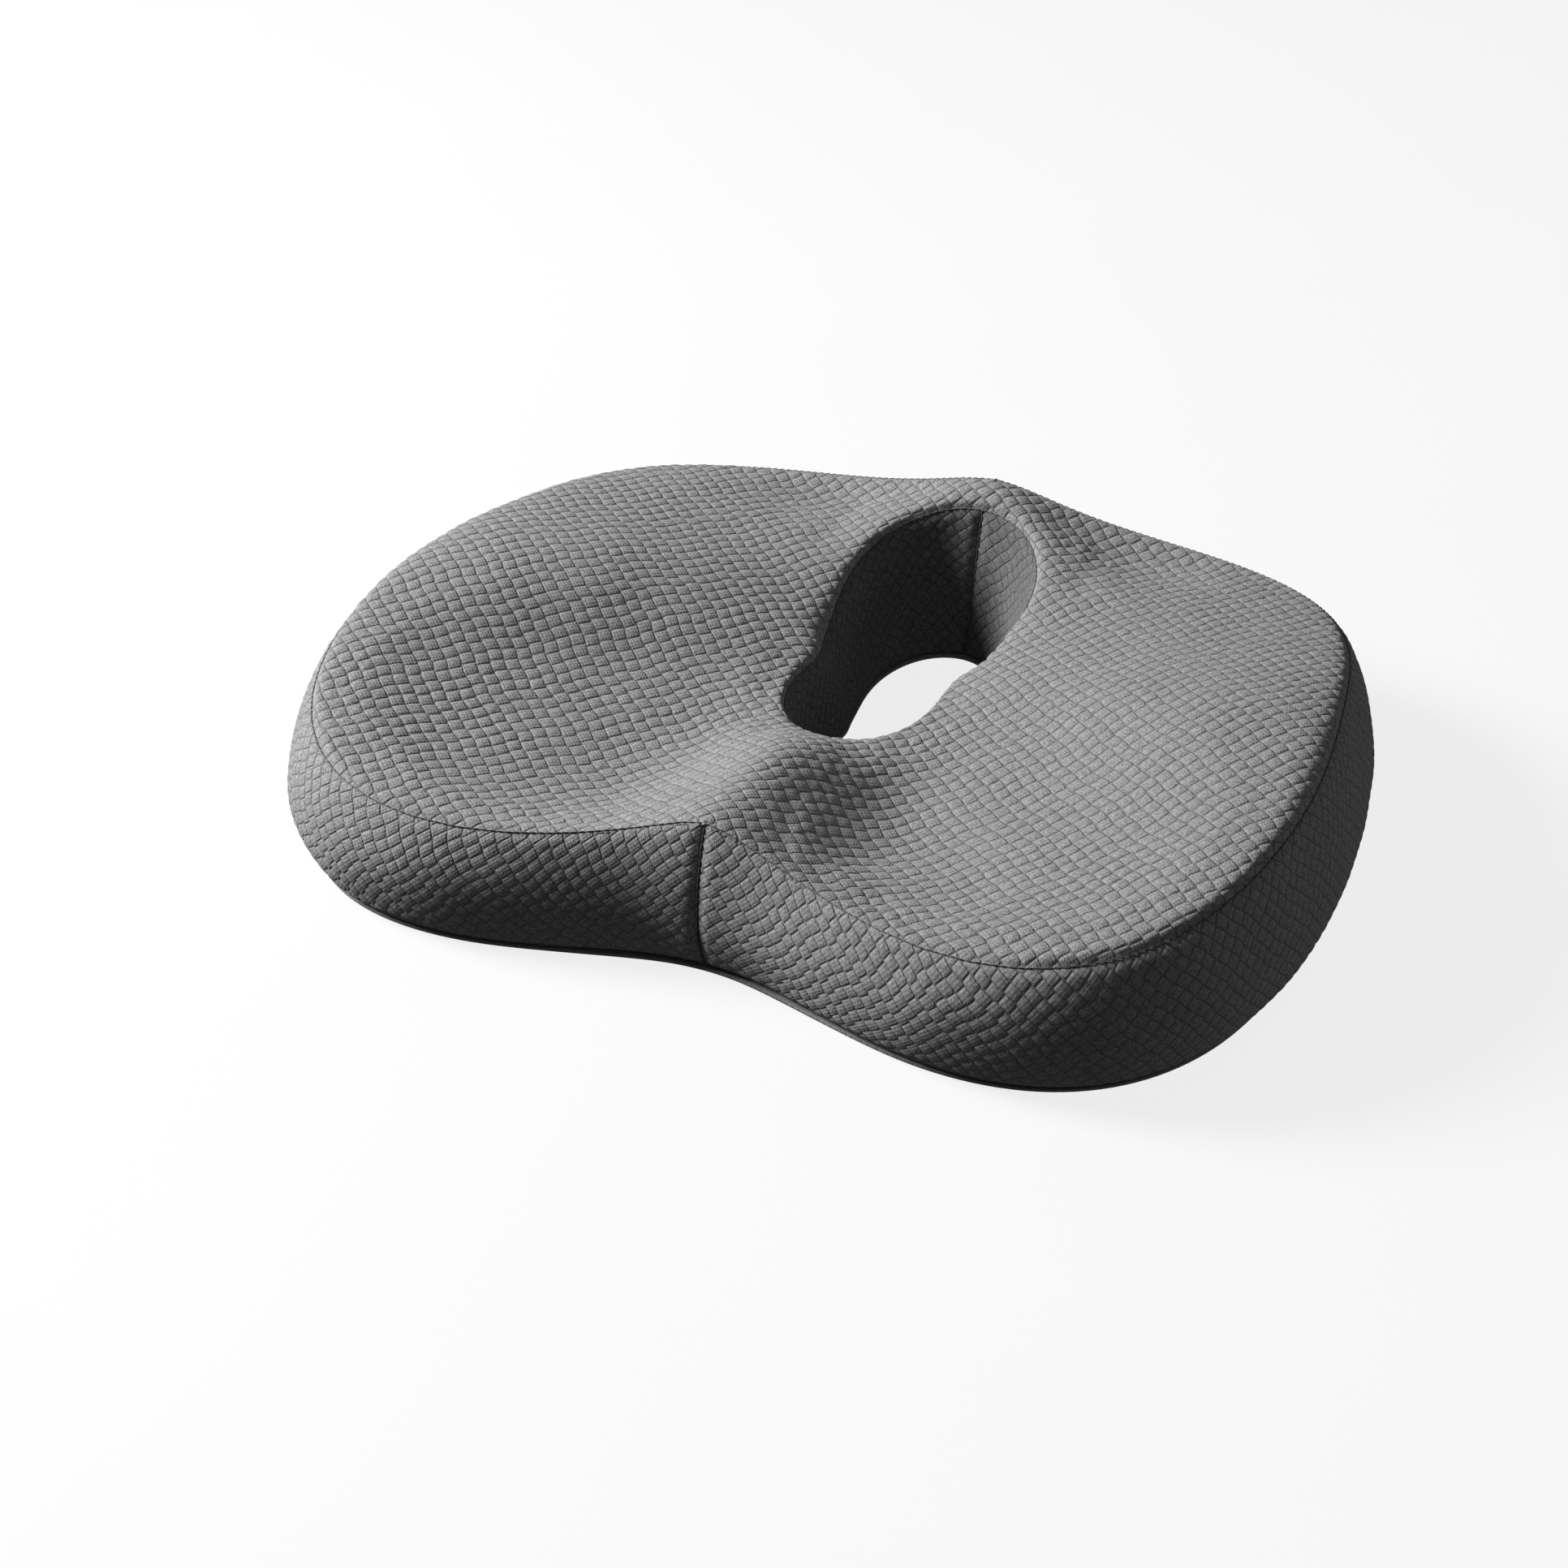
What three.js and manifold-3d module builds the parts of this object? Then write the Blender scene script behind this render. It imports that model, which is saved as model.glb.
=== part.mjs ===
// Contoured memory foam seat cushion with a removable knit cover, in millimetres, +Z up.
// The seat faces up, the thigh side faces -Y, and the origin is on the underside, at its middle.
import * as THREE from 'three';
import { mergeVertices } from 'three/addons/utils/BufferGeometryUtils.js';
import Module from 'manifold-3d';

const wasm = await Module();
wasm.setup();

// ---- Driving dimensions -------------------------------------------------------------------

// Rings round the cushion are drawn from nine stations, 22.5 degrees apart, from the front
// centre to the rear centre. The other half mirrors them. Plan radii are stretched to the
// overall width and depth.
const WIDTH = 460;                    // overall, side to side
const DEPTH = 360;                    // overall, front to back
const OUTLINE_HUB_Y = -19;            // the point that the outline's radii start from
const OUTLINE = [135, 159, 220, 238, 232, 237, 245, 216, 199];
const HOLE_HUB_Y = 51;                // the point that the hole's radii start from
const HOLE_RIM = [78, 67, 45, 34, 35, 42, 60, 89, 102];
const HOLE_FOOT = [66, 53, 35, 25, 23, 27, 39, 66, 84];

// Heights above the floor, station by station.
const SEAM_HEIGHT = [46, 46, 52, 67, 76, 73, 63, 59, 59];
const FRONT_PEAK = 26;                // the seam's rise at the front centre
const FRONT_PEAK_ANGLE = 24;          // degrees over which that rise fades
const REAR_PEAK = 22;
const REAR_PEAK_ANGLE = 17;
const PEAK_ROUNDING = 4;              // degrees over which each peak is rounded off
const RIM_HEIGHT = [45, 46, 46, 45, 44, 46, 54, 65, 72];
const HOLLOW_DEPTH = [-13, 6, 7, 3, -7, -6, 0, 8, -2];   // below the line from rim to seam
const HOLLOW_SHIFT = [-2, -2, 0, 0, 2, 0, -1, -2, 0];   // deeper towards the hole than the seam
const SEAT_RISE = [1.8, 1.7, 1.6, 1.4, 1.3, 1.4, 1.6, 1.8, 1.9];   // how late the seat rises
const SEAM_ROLL = [0.5, 1.5, 4.5, 7, 8, 6, 4, 3, 1];   // the seat's edge, above the top seam
const SEAM_ROLL_WIDTH = 16;
const RIM_ROLL = [3, 3.5, 4, 6, 8, 7, 6, 6, 6];   // and above the seam round the hole
const RIM_ROLL_WIDTH = 12;
const SEAM_INSET = [9, 12, 13, 12, 13, 14, 10, 8, 7];   // the top seam, inside the widest line
const WAIST_HEIGHT = 28;              // height of the widest line
const BASE_TUCK = [7, 6, 8, 10, 11, 12, 12, 11, 10];    // the base seam, inside the widest line

// Cover and core.
const FABRIC = 1.6;                   // thickness of the knit panels
const BASE_FABRIC = 2.0;              // thickness of the anti-slip panels
const SEAM_GAP = 0.3;                 // between panels that are sewn together
const CORE_GAP = 0.4;                 // between the cover and the foam
const SLIT = 0.6;                     // the cut that lets the ring-shaped core into the cover
const SEAM_LAND = 2.5;                // nearest row to the top seam, in cover thicknesses

// Zip across the underside, in front of the hole, and closed by a slider that rests at +X.
const ZIP_Y = -60;
const ZIP_MARGIN = 44;                // from the end of the opening to the widest line
const SLOT_WIDTH = 10;                // opening between the two base panels
const TAB_END_GAP = 1.5;              // between the pull tab and the end of the opening
const HEM_WIDTH = 12;                 // folded edge of each base panel along the opening
const FLOOR_GAP = 0.6;                // between the floor and the lowest metal
const TAPE_WIDTH = 14;
const TAPE_THICKNESS = 0.6;
const COIL_GAP = 1.2;                 // between the two rows of teeth
const COIL_WIDTH = 2.2;
const COIL_HEIGHT = 2.0;
const STOP_LENGTH = 3.2;
const STOP_WALL = 0.4;                // how far a stop stands proud of the teeth
const GROOVE_MARGIN = 4;              // foam cleared round the hems and the slider
const FIT = 0.3;                      // clearance between small parts

// Slider and pull tab.
const SLIDER_LENGTH = 11;
const SLIDER_TAIL_WIDTH = 6.8;
const SLIDER_CORNER = 2;
const SLIDER_PLATE = 0.7;
const POST_WIDTH = 0.6;
const POST_LENGTH = 2.4;
const BAIL_LENGTH = 5.0;
const BAIL_WIDTH = 2.0;
const BAIL_WALL = 0.7;
const TAB_LENGTH = 20;
const TAB_WIDTH = 6;
const TAB_THICKNESS = 0.9;
const TAB_EYE_LENGTH = 4.2;
const TAB_BAR = 0.9;

// Mesh steps.
const STEPS_ROUND = 72;
const SLEEVE_STEPS = 3;
const ROLL_STEPS = 2;
const SEAT_STEPS = 7;
const BAND_STEPS = 3;

// ---- Rings ---------------------------------------------------------------------------------

// A smooth ring through the station values: the cosine series that passes through all of them.
function ring(values) {
  const last = values.length - 1;
  const half = (k) => (k === 0 || k === last ? 0.5 : 1);
  const terms = values.map((_, k) => half(k) * (2 / last) * values.reduce(
    (sum, value, j) => sum + half(j) * value * Math.cos((Math.PI * j * k) / last), 0));
  return (angle) => terms.reduce((sum, term, k) => sum + term * Math.cos(k * angle), 0);
}

const rings = {
  outline: ring(OUTLINE), holeRim: ring(HOLE_RIM), holeFoot: ring(HOLE_FOOT),
  seamHeight: ring(SEAM_HEIGHT), rimHeight: ring(RIM_HEIGHT), hollow: ring(HOLLOW_DEPTH),
  hollowShift: ring(HOLLOW_SHIFT), seatRise: ring(SEAT_RISE), seamRoll: ring(SEAM_ROLL),
  rimRoll: ring(RIM_ROLL), seamInset: ring(SEAM_INSET), baseTuck: ring(BASE_TUCK),
};

function anglesBetween(start, end, steps) {
  return Array.from({ length: steps + 1 }, (_, i) => start + ((end - start) * i) / steps);
}

// What the outline spans as drawn, and so how far it is stretched.
const drawn = anglesBetween(0, Math.PI, 180).map((angle) => [
  rings.outline(angle) * Math.sin(angle), OUTLINE_HUB_Y - rings.outline(angle) * Math.cos(angle)]);
const drawnHalfWidth = Math.max(...drawn.map(([x]) => x));
const drawnFront = Math.min(...drawn.map(([, y]) => y));
const drawnRear = Math.max(...drawn.map(([, y]) => y));
const scaleX = WIDTH / 2 / drawnHalfWidth;
const scaleY = DEPTH / (drawnRear - drawnFront);
const middleY = (drawnFront + drawnRear) / 2;

// A point in plan, at a radius from a hub on the centre line.
function plan(radius, angle, hubY, z) {
  return new THREE.Vector3(
    scaleX * radius * Math.sin(angle), scaleY * (hubY - radius * Math.cos(angle) - middleY), z);
}

// A rise that fades with the angle from its top, which is rounded.
function peak(angle, height, fadeDegrees) {
  const degrees = THREE.MathUtils.radToDeg(angle);
  return height * Math.exp((PEAK_ROUNDING - Math.hypot(degrees, PEAK_ROUNDING)) / fadeDegrees);
}

function seamHeightAt(angle) {
  const fromFront = Math.acos(THREE.MathUtils.clamp(Math.cos(angle), -1, 1));
  return rings.seamHeight(angle) + peak(fromFront, FRONT_PEAK, FRONT_PEAK_ANGLE)
    + peak(Math.PI - fromFront, REAR_PEAK, REAR_PEAK_ANGLE);
}

// ---- The cover's outer surface -------------------------------------------------------------

const footZ = BASE_FABRIC + SEAM_GAP;
const sleeveRows = SLEEVE_STEPS;
const seatRows = sleeveRows + 2 * ROLL_STEPS + SEAT_STEPS;
const coverDepth = FABRIC + CORE_GAP;
const bandRows = seatRows + 2 * BAND_STEPS;

// The seat between the rim of the hole and the top seam. `across` runs from 0 to 1.
function seatPoint(angle, step) {
  const rim = plan(rings.holeRim(angle), angle, HOLE_HUB_Y, 0);
  const seamRadius = rings.outline(angle) - rings.seamInset(angle);
  const seam = plan(seamRadius, angle, OUTLINE_HUB_Y, 0);
  const span = rim.distanceTo(seam);
  const rimWidth = Math.min(RIM_ROLL_WIDTH, span / 3);
  const seamWidth = Math.min(SEAM_ROLL_WIDTH, span / 3);
  const rimTop = rings.rimHeight(angle) + rings.rimRoll(angle);
  const seamTop = seamHeightAt(angle) + rings.seamRoll(angle);
  const seatHeight = (across) => rimTop + (seamTop - rimTop) * across ** rings.seatRise(angle)
    - rings.hollow(angle) * Math.sin(Math.PI * across)
    - rings.hollowShift(angle) * Math.sin(2 * Math.PI * across);
  let distance;
  let drop = 0;
  if (step < ROLL_STEPS) {
    const turn = (Math.PI / 2) * (step / ROLL_STEPS);
    distance = rimWidth * (1 - Math.cos(turn));
    drop = rings.rimRoll(angle) * (1 - Math.sin(turn));
  } else if (step <= ROLL_STEPS + SEAT_STEPS) {
    distance = rimWidth + (span - rimWidth - seamWidth) * ((step - ROLL_STEPS) / SEAT_STEPS);
  } else {
    const turn = (Math.PI / 2) * ((step - ROLL_STEPS - SEAT_STEPS) / ROLL_STEPS);
    const back = seamWidth * (1 - Math.sin(turn));
    distance = span - (step < seatRows - sleeveRows ? Math.max(back, SEAM_LAND * coverDepth) : 0);
    drop = rings.seamRoll(angle) * (1 - Math.cos(turn));
  }
  const point = rim.clone().lerp(seam, distance / span);
  point.z = seatHeight(distance / span) - drop;
  return point;
}

// The wall from the top seam out to the widest line and in again to the base seam.
function bandPoint(angle, step) {
  const widest = rings.outline(angle);
  const seamZ = seamHeightAt(angle);
  if (step <= BAND_STEPS) {
    const down = step / BAND_STEPS;
    const inset = rings.seamInset(angle) * (1 - down) ** 2;
    return plan(widest - inset, angle, OUTLINE_HUB_Y, seamZ + (WAIST_HEIGHT - seamZ) * down);
  }
  const down = (step - BAND_STEPS) / BAND_STEPS;
  const inset = rings.baseTuck(angle) * down ** 2;
  return plan(widest - inset, angle, OUTLINE_HUB_Y, WAIST_HEIGHT + (footZ - WAIST_HEIGHT) * down);
}

// Rows run from the foot of the hole's sleeve, up and over the seat, and down the outer wall.
function coverPoint(angle, row) {
  if (row < sleeveRows) {
    const up = row / SLEEVE_STEPS;
    const foot = rings.holeFoot(angle);
    const radius = foot + (rings.holeRim(angle) - foot) * up;
    return plan(radius, angle, HOLE_HUB_Y, footZ + (rings.rimHeight(angle) - footZ) * up);
  }
  if (row <= seatRows) {
    return seatPoint(angle, row - sleeveRows);
  }
  return bandPoint(angle, row - seatRows);
}

// The same surface, sunk by a depth. The two bottom edges sink level, so that they stay flat.
function sunkPoint(angle, row, depth) {
  const point = coverPoint(angle, row);
  if (depth === 0) {
    return point;
  }
  const turn = 0.01;
  const round = coverPoint(angle + turn, row).sub(coverPoint(angle - turn, row));
  const before = coverPoint(angle, Math.max(row - 1, 0));
  const after = coverPoint(angle, Math.min(row + 1, bandRows));
  const normal = after.sub(point).normalize().add(point.clone().sub(before).normalize());
  normal.cross(round);
  if (row === 0 || row === bandRows) {
    normal.z = 0;
  }
  return point.addScaledVector(normal.normalize(), -depth);
}

// ---- Mesh helpers --------------------------------------------------------------------------

function geometryOf(points, triangles) {
  const geometry = new THREE.BufferGeometry();
  geometry.setAttribute('position', new THREE.Float32BufferAttribute(
    points.flatMap((point) => [point.x, point.y, point.z]), 3));
  geometry.setIndex(triangles);
  return geometry;
}

// A closed body from columns of points. Each column goes once round the body's cross-section.
// The columns close into a ring, or the first and the last are capped. Each four-sided patch is
// folded along the shorter diagonal of its guide points. Sheets that are laid one on the other
// share their guides, so that they fold the same way.
function loft(columns, closed, guideColumns = columns) {
  const rows = columns[0].length;
  const count = columns.length;
  const points = columns.flat();
  const guides = guideColumns.flat();
  const triangles = [];
  const quad = (a, b, c, d) => {
    if (guides[a].distanceTo(guides[c]) < guides[b].distanceTo(guides[d])) {
      triangles.push(a, b, c, a, c, d);
    } else {
      triangles.push(a, b, d, b, c, d);
    }
  };
  for (let i = 0; i < (closed ? count : count - 1); i += 1) {
    const here = i * rows;
    const next = ((i + 1) % count) * rows;
    for (let j = 0; j < rows; j += 1) {
      const k = (j + 1) % rows;
      quad(here + j, here + k, next + k, next + j);
    }
  }
  if (!closed) {
    const end = (count - 1) * rows;
    for (let j = 0; j < rows / 2 - 1; j += 1) {
      const far = rows - 1 - j;
      quad(j, far, far - 1, j + 1);
      quad(end + j, end + j + 1, end + far - 1, end + far);
    }
  }
  return geometryOf(points, triangles);
}

function solid(geometry) {
  const bare = geometry.clone();
  bare.deleteAttribute('normal');
  bare.deleteAttribute('uv');
  const merged = mergeVertices(bare, 1e-4);
  return new wasm.Manifold(new wasm.Mesh({
    numProp: 3,
    vertProperties: new Float32Array(merged.attributes.position.array),
    triVerts: new Uint32Array(merged.index.array),
  }));
}

function geometryFrom(manifold) {
  const mesh = manifold.getMesh();
  const geometry = new THREE.BufferGeometry();
  geometry.setAttribute('position', new THREE.BufferAttribute(mesh.vertProperties, 3));
  geometry.setIndex(new THREE.BufferAttribute(mesh.triVerts, 1));
  return geometry;
}

// A box between two corners.
function block(x0, x1, y0, y1, z0, z1) {
  const geometry = new THREE.BoxGeometry(x1 - x0, y1 - y0, z1 - z0);
  return geometry.translate((x0 + x1) / 2, (y0 + y1) / 2, (z0 + z1) / 2);
}

function join(...geometries) {
  return geometries.map(solid).reduce((whole, piece) => whole.add(piece));
}

// ---- Knit panels ---------------------------------------------------------------------------

// Each panel stops half a seam gap short of its neighbour, measured along the surface.
function trimmed(edge, inner, gap) {
  return edge.clone().lerp(inner, Math.min(gap / 2 / edge.distanceTo(inner), 0.5));
}

function sheetColumn(angle, firstRow, lastRow) {
  const side = (depth) => {
    const points = [];
    for (let row = firstRow; row <= lastRow; row += 1) {
      points.push(sunkPoint(angle, row, depth));
    }
    const end = points.length - 1;
    const first = firstRow === 0 ? points[0] : trimmed(points[0], points[1], SEAM_GAP);
    const last = lastRow === bandRows ? points[end] : trimmed(points[end], points[end - 1], SEAM_GAP);
    return [first, ...points.slice(1, end), last];
  };
  return [...side(0), ...side(FABRIC).reverse()];
}

// The sheet as guide points: the cover's outer surface, there and back.
function guideColumn(angle, firstRow, lastRow) {
  const points = [];
  for (let row = firstRow; row <= lastRow; row += 1) {
    points.push(coverPoint(angle, row));
  }
  return [...points, ...points.toReversed()];
}

const roundAngles = anglesBetween(-Math.PI, Math.PI, STEPS_ROUND).slice(0, -1);

function closedSheet(firstRow, lastRow) {
  return loft(
    roundAngles.map((angle) => sheetColumn(angle, firstRow, lastRow)), true,
    roundAngles.map((angle) => guideColumn(angle, firstRow, lastRow)));
}

// An open strip, whose ends stop short of the seams at `start` and `end`.
function stripSheet(firstRow, lastRow, start, end, endRadius) {
  const short = SEAM_GAP / 2 / endRadius;
  const steps = Math.round((STEPS_ROUND * (end - start)) / (2 * Math.PI));
  const angles = anglesBetween(start, end, steps);
  const guides = angles.map((angle) => guideColumn(angle, firstRow, lastRow));
  angles[0] += short;
  angles[steps] -= short;
  return loft(angles.map((angle) => sheetColumn(angle, firstRow, lastRow)), false, guides);
}

const shortestEnd = Math.min(OUTLINE[0], OUTLINE[OUTLINE.length - 1]) * Math.min(scaleX, scaleY);
const topPanel = closedSheet(sleeveRows, seatRows);
const rightBand = stripSheet(seatRows, bandRows, 0, Math.PI, shortestEnd - SEAM_INSET[0]);
const leftBand = stripSheet(seatRows, bandRows, -Math.PI, 0, shortestEnd - SEAM_INSET[0]);
const holeSleeve = stripSheet(
  0, sleeveRows, -Math.PI, Math.PI, HOLE_FOOT[HOLE_FOOT.length - 1] * Math.min(scaleX, scaleY));

// ---- Zip levels, from the floor up ---------------------------------------------------------

const bailFloor = FLOOR_GAP + BAIL_WALL;
const tabZ = bailFloor + FIT + TAB_THICKNESS / 2;
const sliderLow = tabZ + TAB_THICKNESS / 2 + FIT;
const zipZ = sliderLow + SLIDER_PLATE + FIT + COIL_HEIGHT / 2;
const coilTop = zipZ + COIL_HEIGHT / 2;
const stopTop = coilTop + STOP_WALL;
const sliderHigh = coilTop + FIT + SLIDER_PLATE;
const tapeBottom = zipZ - TAPE_THICKNESS / 2;
const hemHeight = tapeBottom - FIT;
const slotHalf = SLOT_WIDTH / 2;
const slotEndX = WIDTH / 2 - ZIP_MARGIN;
const zipLength = 2 * (slotEndX - TAB_LENGTH + SLIDER_LENGTH / 2 - TAB_END_GAP);
const coilOuter = COIL_GAP / 2 + COIL_WIDTH;
const sliderHalf = coilOuter + FIT + SLIDER_PLATE;

// A straight strip along the zip, on one side of it.
function zipStrip(side, near, far, halfX, z0, z1) {
  const [a, b] = [ZIP_Y + side * near, ZIP_Y + side * far].sort((p, q) => p - q);
  return block(-halfX, halfX, a, b, z0, z1);
}

// ---- Foam core -----------------------------------------------------------------------------

function foamCore() {
  const rows = Array.from({ length: bandRows + 1 }, (_, row) => row);
  const guides = roundAngles.map((angle) => rows.map((row) => coverPoint(angle, row)));
  const foot = footZ + CORE_GAP - SEAM_GAP;
  const columns = roundAngles.map((angle) => rows.map((row) => {
    const point = sunkPoint(angle, row, coverDepth);
    point.z = Math.max(point.z, foot);
    return point;
  }));
  const grooveHalf = slotHalf + HEM_WIDTH + GROOVE_MARGIN;
  const grooveEnd = slotEndX + GROOVE_MARGIN;
  const groove = block(-grooveEnd, grooveEnd, ZIP_Y - grooveHalf, ZIP_Y + grooveHalf,
    -footZ, sliderHigh + FIT);
  const insideHole = plan(HOLE_FOOT[HOLE_FOOT.length - 1] / 2, Math.PI, HOLE_HUB_Y, 0).y;
  const above = 2 * Math.max(...SEAM_HEIGHT);
  const slit = block(-SLIT / 2, SLIT / 2, insideHole, DEPTH, -footZ, above);
  const whole = solid(loft(columns, true, guides));
  return geometryFrom(whole.subtract(solid(groove)).subtract(solid(slit)));
}

// ---- Anti-slip base panels -----------------------------------------------------------------

// The whole base: a flat ring, flush with the wall outside and with the sleeve in the hole.
function baseRing() {
  const columns = roundAngles.map((angle) => {
    const hole = coverPoint(angle, 0);
    const edge = coverPoint(angle, bandRows);
    return [hole.clone().setZ(0), hole.clone().setZ(BASE_FABRIC),
      edge.clone().setZ(BASE_FABRIC), edge.clone().setZ(0)];
  });
  return solid(loft(columns, true));
}

// One side of the base: `side` is -1 in front of the zip and +1 behind it.
function basePanel(side) {
  const half = solid(zipStrip(side, SEAM_GAP / 2, DEPTH, WIDTH, 0, BASE_FABRIC));
  const slot = solid(zipStrip(side, 0, slotHalf, slotEndX, 0, BASE_FABRIC));
  const hem = solid(zipStrip(side, slotHalf, slotHalf + HEM_WIDTH, slotEndX, 0, hemHeight));
  return geometryFrom(baseRing().intersect(half).subtract(slot).add(hem));
}

// ---- Zip -----------------------------------------------------------------------------------

function zipTape(side) {
  return zipStrip(side, coilOuter + FIT, coilOuter + FIT + TAPE_WIDTH, slotEndX, tapeBottom,
    tapeBottom + TAPE_THICKNESS);
}

// A row of coil, with its long edges rounded.
function zipCoil(side) {
  const bend = COIL_HEIGHT / 4;
  const w = COIL_WIDTH / 2 - bend;
  const h = COIL_HEIGHT / 2 - bend;
  const section = new THREE.Shape();
  section.absarc(w, h, bend, 0, Math.PI / 2);
  section.absarc(-w, h, bend, Math.PI / 2, Math.PI);
  section.absarc(-w, -h, bend, Math.PI, 1.5 * Math.PI);
  section.absarc(w, -h, bend, 1.5 * Math.PI, 2 * Math.PI);
  const geometry = new THREE.ExtrudeGeometry(section, {
    depth: zipLength, bevelEnabled: false, curveSegments: 3 });
  geometry.translate(0, 0, -zipLength / 2).rotateX(Math.PI / 2).rotateZ(Math.PI / 2);
  return geometry.translate(0, ZIP_Y + side * (COIL_GAP + COIL_WIDTH) / 2, zipZ);
}

// A metal clip across both rows at one end of the coil.
function zipStop(side) {
  const near = zipLength / 2 + FIT;
  const x = [side * near, side * (near + STOP_LENGTH)].sort((a, b) => a - b);
  return block(x[0], x[1], ZIP_Y - coilOuter, ZIP_Y + coilOuter, 2 * zipZ - stopTop, stopTop);
}

const sliderX = zipLength / 2 - SLIDER_LENGTH / 2 - FIT;

// The slider's plates, in plan: wide over the two rows at the front and narrower at the tail.
function sliderPlate(z0, z1) {
  const nose = SLIDER_LENGTH / 2;
  const tail = SLIDER_TAIL_WIDTH / 2;
  const shape = new THREE.Shape();
  shape.moveTo(-nose, -tail);
  shape.lineTo(0, -sliderHalf);
  shape.lineTo(nose - SLIDER_CORNER, -sliderHalf);
  shape.quadraticCurveTo(nose, -sliderHalf, nose, -sliderHalf + SLIDER_CORNER);
  shape.lineTo(nose, sliderHalf - SLIDER_CORNER);
  shape.quadraticCurveTo(nose, sliderHalf, nose - SLIDER_CORNER, sliderHalf);
  shape.lineTo(0, sliderHalf);
  shape.lineTo(-nose, tail);
  shape.closePath();
  const geometry = new THREE.ExtrudeGeometry(shape, {
    depth: z1 - z0, bevelEnabled: false, curveSegments: 5 });
  return geometry.translate(sliderX, ZIP_Y, z0);
}

function sliderBody() {
  const lowTop = sliderLow + SLIDER_PLATE;
  const highBottom = sliderHigh - SLIDER_PLATE;
  const nose = sliderX + SLIDER_LENGTH / 2;
  const bend = nose - SLIDER_CORNER;
  const flanges = [-1, 1].flatMap((side) => {
    const [a, b] = [ZIP_Y + side * (sliderHalf - SLIDER_PLATE), ZIP_Y + side * sliderHalf]
      .sort((p, q) => p - q);
    return [block(sliderX, bend, a, b, lowTop - FIT, tapeBottom - FIT),
      block(sliderX, bend, a, b, tapeBottom + TAPE_THICKNESS + FIT, highBottom + FIT)];
  });
  const post = block(nose - POST_LENGTH - FIT, nose - FIT, ZIP_Y - POST_WIDTH / 2,
    ZIP_Y + POST_WIDTH / 2, lowTop - FIT, highBottom + FIT);
  const bail = solid(block(sliderX - BAIL_LENGTH / 2, sliderX + BAIL_LENGTH / 2,
    ZIP_Y - BAIL_WIDTH / 2, ZIP_Y + BAIL_WIDTH / 2, FLOOR_GAP, sliderLow + FIT));
  const window = solid(block(sliderX - BAIL_LENGTH / 2 + BAIL_WALL,
    sliderX + BAIL_LENGTH / 2 - BAIL_WALL, ZIP_Y - BAIL_WIDTH, ZIP_Y + BAIL_WIDTH,
    bailFloor, sliderLow));
  const plates = join(sliderPlate(sliderLow, lowTop), sliderPlate(highBottom, sliderHigh));
  return geometryFrom(plates.add(join(post, ...flanges)).add(bail.subtract(window)));
}

// The pull tab lies flat along -X from the bar that turns in the slider's bail.
function pullTab() {
  const half = TAB_WIDTH / 2;
  const bar = TAB_BAR / 2;
  const shape = new THREE.Shape();
  shape.moveTo(bar, -half);
  shape.lineTo(bar, half);
  shape.lineTo(-TAB_LENGTH + half, half);
  shape.absarc(-TAB_LENGTH + half, 0, half, Math.PI / 2, 1.5 * Math.PI);
  shape.closePath();
  const eyeHalf = BAIL_WIDTH / 2 + 2 * FIT;
  const eye = new THREE.Path();
  eye.moveTo(-bar, -eyeHalf);
  eye.lineTo(-bar - TAB_EYE_LENGTH, -eyeHalf);
  eye.lineTo(-bar - TAB_EYE_LENGTH, eyeHalf);
  eye.lineTo(-bar, eyeHalf);
  eye.closePath();
  shape.holes.push(eye);
  const geometry = new THREE.ExtrudeGeometry(shape, {
    depth: TAB_THICKNESS, bevelEnabled: false, curveSegments: 8 });
  geometry.translate(sliderX, ZIP_Y, tabZ - TAB_THICKNESS / 2);
  return geometryFrom(solid(geometry));
}

// ---- Materials and the assembly ------------------------------------------------------------

const seatKnit = { color: 0x8a8a8a, roughness: 0.9, metalness: 0 };
const bandKnit = { color: 0x6f6f6f, roughness: 0.92, metalness: 0 };
const sleeveKnit = { color: 0x5a5a5a, roughness: 0.92, metalness: 0 };
const foam = { color: 0xe6e2d6, roughness: 0.95, metalness: 0 };
const grip = { color: 0x4a4a4a, roughness: 0.85, metalness: 0 };
const tape = { color: 0x333333, roughness: 0.9, metalness: 0 };
const coil = { color: 0x2a2a2a, roughness: 0.5, metalness: 0 };
const steel = { color: 0xb4b4b4, roughness: 0.35, metalness: 1 };

const cushion = new THREE.Group();

function place(name, geometry, finish) {
  const mesh = new THREE.Mesh(geometry, new THREE.MeshStandardMaterial(finish));
  mesh.name = name;
  cushion.add(mesh);
}

place('foam_core', foamCore(), foam);
place('top_panel', topPanel, seatKnit);
place('side_band_left', leftBand, bandKnit);
place('side_band_right', rightBand, bandKnit);
place('hole_sleeve', holeSleeve, sleeveKnit);
place('base_panel_front', basePanel(-1), grip);
place('base_panel_rear', basePanel(1), grip);
place('zipper_tape_front', zipTape(-1), tape);
place('zipper_tape_rear', zipTape(1), tape);
place('zipper_coil_front', zipCoil(-1), coil);
place('zipper_coil_rear', zipCoil(1), coil);
place('zipper_stop_left', zipStop(-1), steel);
place('zipper_stop_right', zipStop(1), steel);
place('zipper_slider', sliderBody(), steel);
place('zipper_pull_tab', pullTab(), steel);

export default cushion;
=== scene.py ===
"""A foam seat cushion with a relief hole, in a sewn knit cover with a zip underneath."""
import math

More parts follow.
